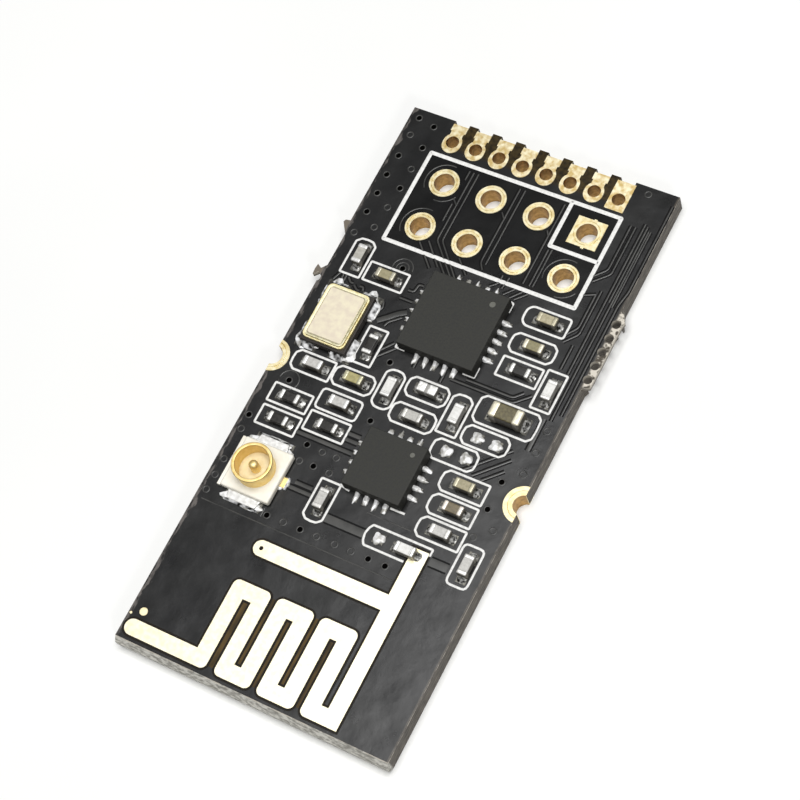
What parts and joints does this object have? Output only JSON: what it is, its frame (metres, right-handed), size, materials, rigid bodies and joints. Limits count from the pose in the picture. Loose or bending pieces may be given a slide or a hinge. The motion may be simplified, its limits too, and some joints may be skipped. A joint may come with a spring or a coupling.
{
  "type": "wireless transceiver module",
  "caption": "Small black radio board with a plated header grid, castellated edge, printed meander antenna, flat chips, crystal, micro coax socket and chip components.",
  "frame": {"origin": "centre of the board at the level that its rear pads stand on", "axes": "+Z out of the component side, +Y along the board towards the header end, +X to the right with the antenna towards the viewer"},
  "size_m": [0.015, 0.0298, 0.0023],
  "materials": {
    "solder_mask": "semi-gloss black solder mask over glass epoxy",
    "gilded_copper": "pale immersion gold over copper",
    "gilded_ring": "gold plate",
    "tin": "tinned copper",
    "solder": "bright reflowed solder",
    "moulding_compound": "fine matte black epoxy",
    "package_ceramic": "fired brown-grey ceramic",
    "lid_metal": "nickel-plated lid",
    "coax_plastic": "cream liquid-crystal polymer",
    "capacitor_ceramic": "beige fired ceramic",
    "inductor_ceramic": "white fired ceramic",
    "resistor_coat": "black glaze over alumina",
    "print_ink": "white printed epoxy ink",
    "bare_laminate": "glass epoxy without foil or with a thin mask over it"
  },
  "bodies": {
    "root": {"board": "solder_mask", "header_eyelet_1": "gilded_copper", "header_eyelet_2": "gilded_copper", "header_eyelet_3": "gilded_copper", "header_eyelet_4": "gilded_copper", "header_eyelet_5": "gilded_copper", "header_eyelet_6": "gilded_copper", "header_eyelet_7": "gilded_copper", "header_eyelet_8": "gilded_copper", "castellated_pad_1": "gilded_copper", "castellated_pad_2": "gilded_copper", "castellated_pad_3": "gilded_copper", "castellated_pad_4": "gilded_copper", "castellated_pad_5": "gilded_copper", "castellated_pad_6": "gilded_copper", "castellated_pad_7": "gilded_copper", "castellated_pad_8": "gilded_copper", "edge_contact_left": "gilded_copper", "edge_contact_right": "gilded_copper", "antenna": "gilded_copper", "component_lands": "tin", "transceiver_body": "moulding_compound", "transceiver_leads": "tin", "amplifier_body": "moulding_compound", "amplifier_leads": "tin", "crystal_base": "package_ceramic", "crystal_ring": "gilded_ring", "crystal_lid": "lid_metal", "coax_insulator": "coax_plastic", "coax_ground_contact": "gilded_ring", "coax_signal_contact": "gilded_ring", "capacitor_1": "capacitor_ceramic", "capacitor_2": "capacitor_ceramic", "capacitor_3": "capacitor_ceramic", "capacitor_4": "capacitor_ceramic", "capacitor_5": "capacitor_ceramic", "capacitor_6": "capacitor_ceramic", "capacitor_7": "capacitor_ceramic", "capacitor_8": "capacitor_ceramic", "capacitor_9": "capacitor_ceramic", "capacitor_10": "capacitor_ceramic", "capacitor_11": "capacitor_ceramic", "capacitor_12": "capacitor_ceramic", "capacitor_13": "capacitor_ceramic", "capacitor_14": "capacitor_ceramic", "inductor_1": "inductor_ceramic", "inductor_2": "inductor_ceramic", "inductor_3": "inductor_ceramic", "inductor_4": "inductor_ceramic", "inductor_5": "inductor_ceramic", "resistor_1": "resistor_coat", "resistor_2": "resistor_coat", "resistor_3": "resistor_coat", "resistor_4": "resistor_coat", "resistor_5": "resistor_coat", "component_solder": "solder", "chip_solder": "solder", "crystal_solder": "solder", "coax_solder": "solder"}
  },
  "joints": []
}
